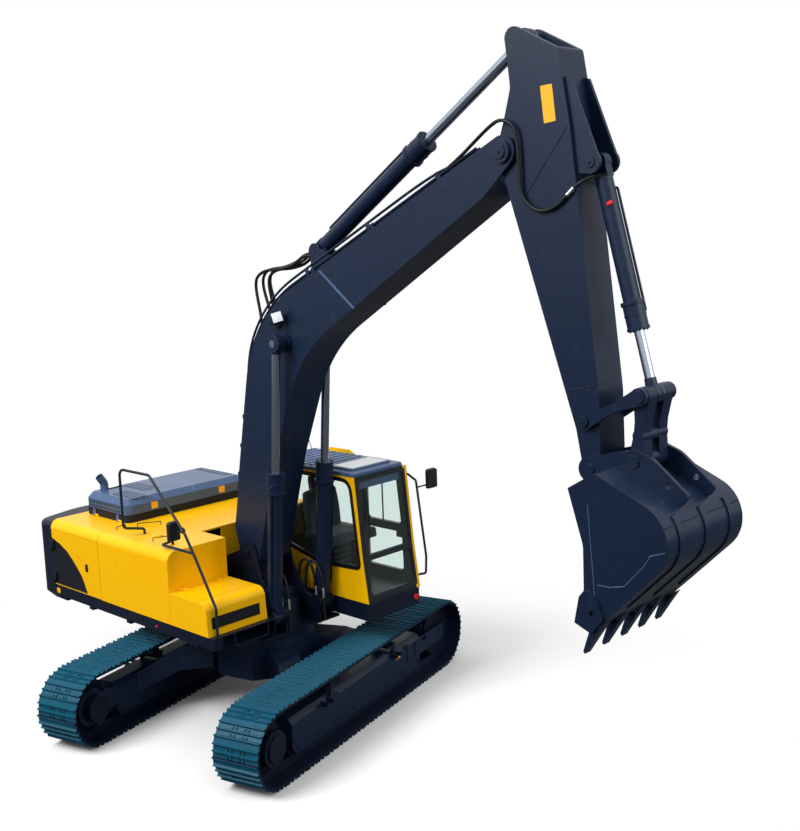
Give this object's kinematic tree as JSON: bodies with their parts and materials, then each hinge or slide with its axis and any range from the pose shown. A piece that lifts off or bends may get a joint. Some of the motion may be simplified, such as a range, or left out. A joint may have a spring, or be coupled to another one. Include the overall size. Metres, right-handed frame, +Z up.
{
  "type": "crawler excavator",
  "caption": "Tracked hydraulic digger with a slewing upper body, glazed cab, bent boom, arm and toothed bucket.",
  "frame": {"origin": "on the ground under the swing centre", "axes": "+X forward along the boom, +Y to the operator's left, +Z up; the undercarriage stands turned under the upper body as in the picture"},
  "size_m": [9.3553, 5.5663, 7.7903],
  "materials": {
    "body_yellow": "gloss enamel",
    "hood_slate": "satin enamel",
    "roof_black": "satin enamel",
    "dull_metal": "as cast",
    "seat_fabric": "woven cover",
    "cab_plastic": "moulded grain",
    "frame_charcoal": "satin enamel",
    "track_steel": "worn rolled steel",
    "boom_navy": "satin enamel",
    "chrome_rod": "ground and plated",
    "window_glass": "clear, flat panes"
  },
  "bodies": {
    "undercarriage": {"x_frame": "frame_charcoal", "side_frame_near": "frame_charcoal", "side_frame_far": "frame_charcoal", "track_near": "track_steel", "track_far": "track_steel", "sprockets": "frame_charcoal", "idlers": "frame_charcoal", "track_rollers": "frame_charcoal"},
    "upper": {"main_frame": "frame_charcoal", "counterweight": "frame_charcoal", "engine_block": "dull_metal", "tank_housing": "body_yellow", "toolbox": "body_yellow", "bay_cover": "body_yellow", "exhaust_stack": "dull_metal", "cab_base": "frame_charcoal", "cab_shell": "body_yellow", "cab_roof": "roof_black", "seat": "seat_fabric", "consoles": "cab_plastic", "windscreen_frame": "cab_plastic", "cab_glass": "window_glass", "handrails": "frame_charcoal", "mirrors": "cab_plastic"},
    "engine_hood": {"engine_hood": "hood_slate"},
    "pump_room_door": {"pump_room_door": "body_yellow"},
    "radiator_door": {"radiator_door": "body_yellow"},
    "toolbox_lid": {"toolbox_lid": "body_yellow"},
    "cab_door": {"cab_door": "body_yellow", "door_glass": "window_glass"},
    "boom": {"boom": "boom_navy", "boom_pipes": "boom_navy"},
    "arm": {"arm": "boom_navy"},
    "guide_links": {"guide_links": "boom_navy"},
    "bucket_link": {"bucket_link": "boom_navy"},
    "bucket": {"bucket": "boom_navy", "bucket_teeth": "boom_navy"},
    "boom_cylinder_right_barrel": {"boom_cylinder_right_barrel": "boom_navy"},
    "boom_cylinder_right_rod": {"boom_cylinder_right_rod": "chrome_rod"},
    "boom_cylinder_left_barrel": {"boom_cylinder_left_barrel": "boom_navy"},
    "boom_cylinder_left_rod": {"boom_cylinder_left_rod": "chrome_rod"},
    "arm_cylinder_barrel": {"arm_cylinder_barrel": "boom_navy"},
    "arm_cylinder_rod": {"arm_cylinder_rod": "chrome_rod"},
    "bucket_cylinder_barrel": {"bucket_cylinder_barrel": "boom_navy"},
    "bucket_cylinder_rod": {"bucket_cylinder_rod": "chrome_rod"}
  },
  "joints": [
    {"name": "swing", "type": "hinge", "parent": "undercarriage", "child": "upper", "pos_m": [0, 0, 1], "axis": [0, 0, 1], "continuous": true},
    {"name": "boom_lift", "type": "hinge", "parent": "upper", "child": "boom", "pos_m": [0.13, 0, 2.06], "axis": [0, -1, 0], "range_deg": [-98, 12.7]},
    {"name": "boom_cylinder_right_pivot", "type": "hinge", "parent": "upper", "child": "boom_cylinder_right_barrel", "pos_m": [0.72, -0.395, 1.375], "axis": [0, -1, 0], "range_deg": [-95.88, 12.86]},
    {"name": "boom_cylinder_right_stroke", "type": "slide", "parent": "boom_cylinder_right_barrel", "child": "boom_cylinder_right_rod", "axis": [0.0864, 0, 0.9963], "range_m": [-1.37266, 0.18137]},
    {"name": "boom_cylinder_left_pivot", "type": "hinge", "parent": "upper", "child": "boom_cylinder_left_barrel", "pos_m": [0.72, 0.395, 1.375], "axis": [0, -1, 0], "range_deg": [-95.88, 12.86]},
    {"name": "boom_cylinder_left_stroke", "type": "slide", "parent": "boom_cylinder_left_barrel", "child": "boom_cylinder_left_rod", "axis": [0.0864, 0, 0.9963], "range_m": [-1.37266, 0.18137]},
    {"name": "arm_curl", "type": "hinge", "parent": "boom", "child": "arm", "pos_m": [4.24168, 0, 6.66837], "axis": [0, 1, 0], "range_deg": [-78, 32]},
    {"name": "arm_cylinder_pivot", "type": "hinge", "parent": "boom", "child": "arm_cylinder_barrel", "pos_m": [1.40745, 0, 5.74485], "axis": [0, -1, 0], "range_deg": [-3.75, 8.42]},
    {"name": "arm_cylinder_stroke", "type": "slide", "parent": "arm_cylinder_barrel", "child": "arm_cylinder_rod", "axis": [0.8356, 0, 0.5494], "range_m": [-1.2137, 0.50029]},
    {"name": "bucket_curl", "type": "hinge", "parent": "arm", "child": "bucket", "pos_m": [5.19459, 0, 3.72161], "axis": [0, 1, 0], "range_deg": [-40, 132]},
    {"name": "guide_link_pivot", "type": "hinge", "parent": "arm", "child": "guide_links", "pos_m": [5.14423, 0, 4.16986], "axis": [0, -1, 0], "range_deg": [-85.64, 26.3]},
    {"name": "bucket_link_pivot", "type": "hinge", "parent": "bucket", "child": "bucket_link", "pos_m": [5.67259, 0, 3.84861], "axis": [0, -1, 0], "range_deg": [-26.5, 86.3]},
    {"name": "bucket_cylinder_pivot", "type": "hinge", "parent": "arm", "child": "bucket_cylinder_barrel", "pos_m": [5.17701, 0, 6.51576], "axis": [0, -1, 0], "range_deg": [-7.74, 2.69]},
    {"name": "bucket_cylinder_stroke", "type": "slide", "parent": "bucket_cylinder_barrel", "child": "bucket_cylinder_rod", "axis": [0.2558, 0, -0.9667], "range_m": [-0.26296, 0.85856]},
    {"name": "cab_door_hinge", "type": "hinge", "parent": "upper", "child": "cab_door", "pos_m": [0.462, 1.471, 2.19], "axis": [0, 0, 1], "range_deg": [0, 165]},
    {"name": "hood_hinge", "type": "hinge", "parent": "upper", "child": "engine_hood", "pos_m": [-2, -0.944, 2.322], "axis": [1, 0, 0], "range_deg": [0, 62]},
    {"name": "pump_door_hinge", "type": "hinge", "parent": "upper", "child": "pump_room_door", "pos_m": [-2.552, -1.466, 1.8], "axis": [0, 0, -1], "range_deg": [0, 100]},
    {"name": "radiator_door_hinge", "type": "hinge", "parent": "upper", "child": "radiator_door", "pos_m": [-2.552, 1.466, 1.8], "axis": [0, 0, 1], "range_deg": [0, 100]},
    {"name": "toolbox_lid_hinge", "type": "hinge", "parent": "upper", "child": "toolbox_lid", "pos_m": [0.098, -1.01, 1.822], "axis": [0, -1, 0], "range_deg": [0, 80]}
  ],
  "couplings": [
    {"joint": "boom_cylinder_right_pivot", "follows": "boom_lift", "ratio": 0.97326},
    {"joint": "boom_cylinder_right_stroke", "follows": "boom_lift", "m_per_rad": 0.80019},
    {"joint": "boom_cylinder_left_pivot", "follows": "boom_lift", "ratio": 0.97326},
    {"joint": "boom_cylinder_left_stroke", "follows": "boom_lift", "m_per_rad": 0.80019},
    {"joint": "arm_cylinder_pivot", "follows": "arm_curl", "ratio": -0.10159},
    {"joint": "arm_cylinder_stroke", "follows": "arm_curl", "m_per_rad": 0.8886},
    {"joint": "guide_link_pivot", "follows": "bucket_curl", "ratio": -0.645},
    {"joint": "bucket_link_pivot", "follows": "bucket_curl", "ratio": 0.65},
    {"joint": "bucket_cylinder_pivot", "follows": "bucket_curl", "ratio": -0.054811},
    {"joint": "bucket_cylinder_stroke", "follows": "bucket_curl", "m_per_rad": 0.37093}
  ]
}
